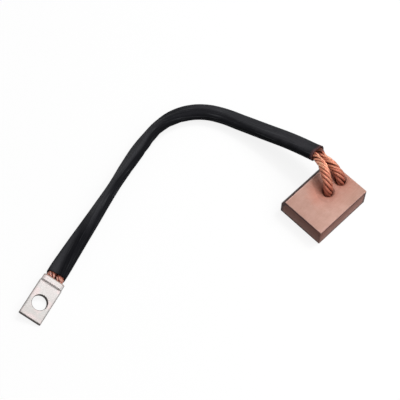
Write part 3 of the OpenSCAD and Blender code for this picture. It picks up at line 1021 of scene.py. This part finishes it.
# ---- terminal
def cable_terminal(material):
    """A tinned copper tube pressed flat: plate with a stud hole, a step, and a raised mouth."""
    step_end = BAND_LENGTH + STEP_LENGTH
    tip = TERMINAL_LENGTH + TIP_BURR
    sections = []
    for x in np.concatenate([[0, 0.1], np.linspace(0.3, 2.3, 12), np.linspace(2.4, 2.7, 13),
                             np.linspace(2.8, 18.9, 30),
                             [tip / MM - 0.2, tip / MM - 0.08, tip / MM]]) * MM:
        rise = ease((step_end - x) / STEP_LENGTH)
        height = PLATE_THICKNESS + (BAND_HEIGHT - PLATE_THICKNESS) * rise
        shrink = EDGE_ROLL * (ease(1 - x / ROLL_REACH) + ease(1 - (tip - x) / ROLL_REACH))
        width = TERMINAL_WIDTH + (MOUTH_WIDTH - TERMINAL_WIDTH) * rise
        sections.append((x, width - shrink, height - shrink, height / 2))
    outer_rings = len(sections)
    sections.append((0, POCKET_WIDTH + 0.1 * MM, MOUTH_GAP + 0.1 * MM, MOUTH_HEIGHT / 2))
    for x in np.linspace(0.1, 4.5, 24) * MM:
        rise = ease((MOUTH_BAND + MOUTH_STEP - x) / MOUTH_STEP)
        gap = PRESSED_GAP + (MOUTH_GAP - PRESSED_GAP) * rise
        sections.append((x, POCKET_WIDTH, gap, TUBE_WALL + gap / 2))
    n = TERMINAL_AROUND
    verts = [(-x, y, z + middle) for x, width, height, middle in sections
             for y, z, _, _ in flat_loop((width - height) / 2, height / 2, n, 0.5)]
    base = outer_rings * n
    faces = quads_between(outer_rings, n)
    faces += quads_between(len(sections) - outer_rings, n, base, flip=True)
    faces += bridge(n, 0, base)
    faces.append(tuple(range(base - n, base)))
    faces.append(tuple(range(len(verts) - n, len(verts))))
    piece = mesh_object("cable_terminal_body", verts, faces)
    outward(piece)
    cut_hole(piece)
    mark_points(piece.data, "place", [v.co / MM for v in piece.data.vertices])
    piece.data.transform(terminal_matrix())
    piece.data.update()
    return finish_piece(piece, material, "cable_terminal")


def cut_hole(piece):
    """The stud hole, punched a little aslant with its edges eased, and the seam of the tip."""
    hole_x = HOLE_FROM_TIP - TERMINAL_LENGTH
    r = STUD_HOLE_D / 2
    eased = 0.2 * MM
    profile = [(-1 * MM, r + eased)]
    profile += [(eased * (1 - math.cos(a)), r + eased * (1 - math.sin(a)))
                for a in np.radians(np.linspace(0, 90, 5))]
    profile += [(PLATE_THICKNESS - z, radius) for z, radius in reversed(profile)]
    around = HOLE_AROUND
    verts = []
    for z, radius in profile:
        aslant = 1 - z / PLATE_THICKNESS
        for i in range(around):
            a = math.tau * i / around
            verts.append((hole_x + radius * math.cos(a) + HOLE_SLANT[0] * aslant,
                          radius * math.sin(a) + HOLE_SLANT[1] * aslant, z))
    faces = quads_between(len(profile), around)
    faces.append(tuple(range(around))[::-1])
    faces.append(tuple(range(len(verts) - around, len(verts))))
    hole = mesh_object("stud_hole_cutter", verts, faces)
    corners = [(x * MM - TERMINAL_LENGTH - TIP_BURR, y, PLATE_THICKNESS / 2 + z)
               for x in (-1, 0.8) for y in (-POCKET_WIDTH / 2, POCKET_WIDTH / 2)
               for z in (-SEAM_GAP / 2, SEAM_GAP / 2)]
    seam = mesh_object("seam_cutter", corners, [(0, 1, 3, 2), (4, 6, 7, 5), (0, 4, 5, 1),
                                                (2, 3, 7, 6), (0, 2, 6, 4), (1, 5, 7, 3)])
    for tool in (hole, seam):
        outward(tool)
        with_settings(piece.modifiers.new("cut", "BOOLEAN"), operation="DIFFERENCE",
                      solver="EXACT", object=tool)
    apply_modifiers(piece, sharp_from=40)
    for mesh in (hole.data, seam.data):
        bpy.data.meshes.remove(mesh)


# ---- floor, lamps and world
def seen_directly(tree):
    """1 for camera, glossy and transmission rays, which see the plain white surroundings."""
    rays = add_node(tree, "ShaderNodeLightPath").outputs
    return larger(rays["Is Camera Ray"], rays["Is Glossy Ray"], rays["Is Transmission Ray"])


def make_floor():
    """A pale floor that shows as white but keeps shadows, and throws little light back."""
    material, tree, _ = new_material("pale_floor")
    tree.nodes.clear()
    plain, lit = (feed(add_node(tree, "ShaderNodeBsdfDiffuse"), Color=(grey,) * 3).outputs[0]
                  for grey in (FLOOR_GREY, 1 - FLOOR_WHITE))
    glow = feed(add_node(tree, "ShaderNodeEmission"), Strength=FLOOR_WHITE).outputs[0]
    both = feed(add_node(tree, "ShaderNodeAddShader"), lit, glow).outputs[0]
    mix = feed(add_node(tree, "ShaderNodeMixShader"), seen_directly(tree), plain, both)
    feed(add_node(tree, "ShaderNodeOutputMaterial"), Surface=mix.outputs[0])
    corners = [(x, y, FLOOR_Z) for x, y in ((-3, -3), (3, -3), (3, 3), (-3, 3))]
    floor = mesh_object("floor", corners, [(0, 1, 2, 3)])
    floor.data.materials.append(material)


def make_world():
    world = bpy.data.worlds.new("studio")
    bpy.context.scene.world = world
    world.use_nodes = True
    tree = world.node_tree
    strength = ramp(seen_directly(tree), 0.0, 1.0, WORLD_LIGHT, 1.0)
    feed(tree.nodes["Background"], Color=(1.0, 1.0, 1.0), Strength=strength)


def make_lamps():
    """A key from above the block's far end, a broad lamp beside it, and a fill from the right."""
    centre = Vector((-0.03, 0.03, 0))
    for name, place, size, power in (
            ("key_lamp", Vector((0.43, -0.11, 0.90)) * 1.1, 0.22, 3.2),
            ("broad_lamp", Vector((0.35, -0.3, 0.85)), 0.9, 6.6),
            ("fill_lamp", Vector((0.05, -0.8, 0.5)), 0.5, 1.1)):
        data = with_settings(bpy.data.lights.new(name, "AREA"), shape="DISK", size=size,
                             energy=power)
        place_and_aim(new_object(name, data), centre + place, centre)


# ---- making
def main():
    make_camera()
    grain = build_grain_group()
    streaks = build_streak_group()
    strands_finish = copper_strands(streaks)
    rope_tree = build_rope_tree()
    front, front_path = pigtail("pigtail_front_rope", "pigtail_front", 1, FRONT_TAIL,
                                FRONT_SEAT_X, 0.1, rope_tree, strands_finish, 3)
    rear, rear_path = pigtail("pigtail_rear_rope", "pigtail_rear", -1, REAR_TAIL,
                              REAR_SEAT_X, 1.35, rope_tree, strands_finish, 8)
    sleeve, sleeve_path = insulating_sleeve(black_sleeving(grain, streaks))
    terminal = cable_terminal(tinned_copper(grain, streaks))

    seats = build_seat_group()
    brush_block(copper_graphite(grain, streaks, build_block_edge_group(), seats))
    powder = tamping_powder(grain, seats)
    powder_plug("tamping_powder_front_plug", "tamping_powder_front", FRONT_SEAT_X, powder, 5)
    powder_plug("tamping_powder_rear_plug", "tamping_powder_rear", REAR_SEAT_X, powder, 6)

    make_floor()
    make_world()
    make_lamps()
    bpy.context.scene.view_settings.view_transform = "Standard"


main()
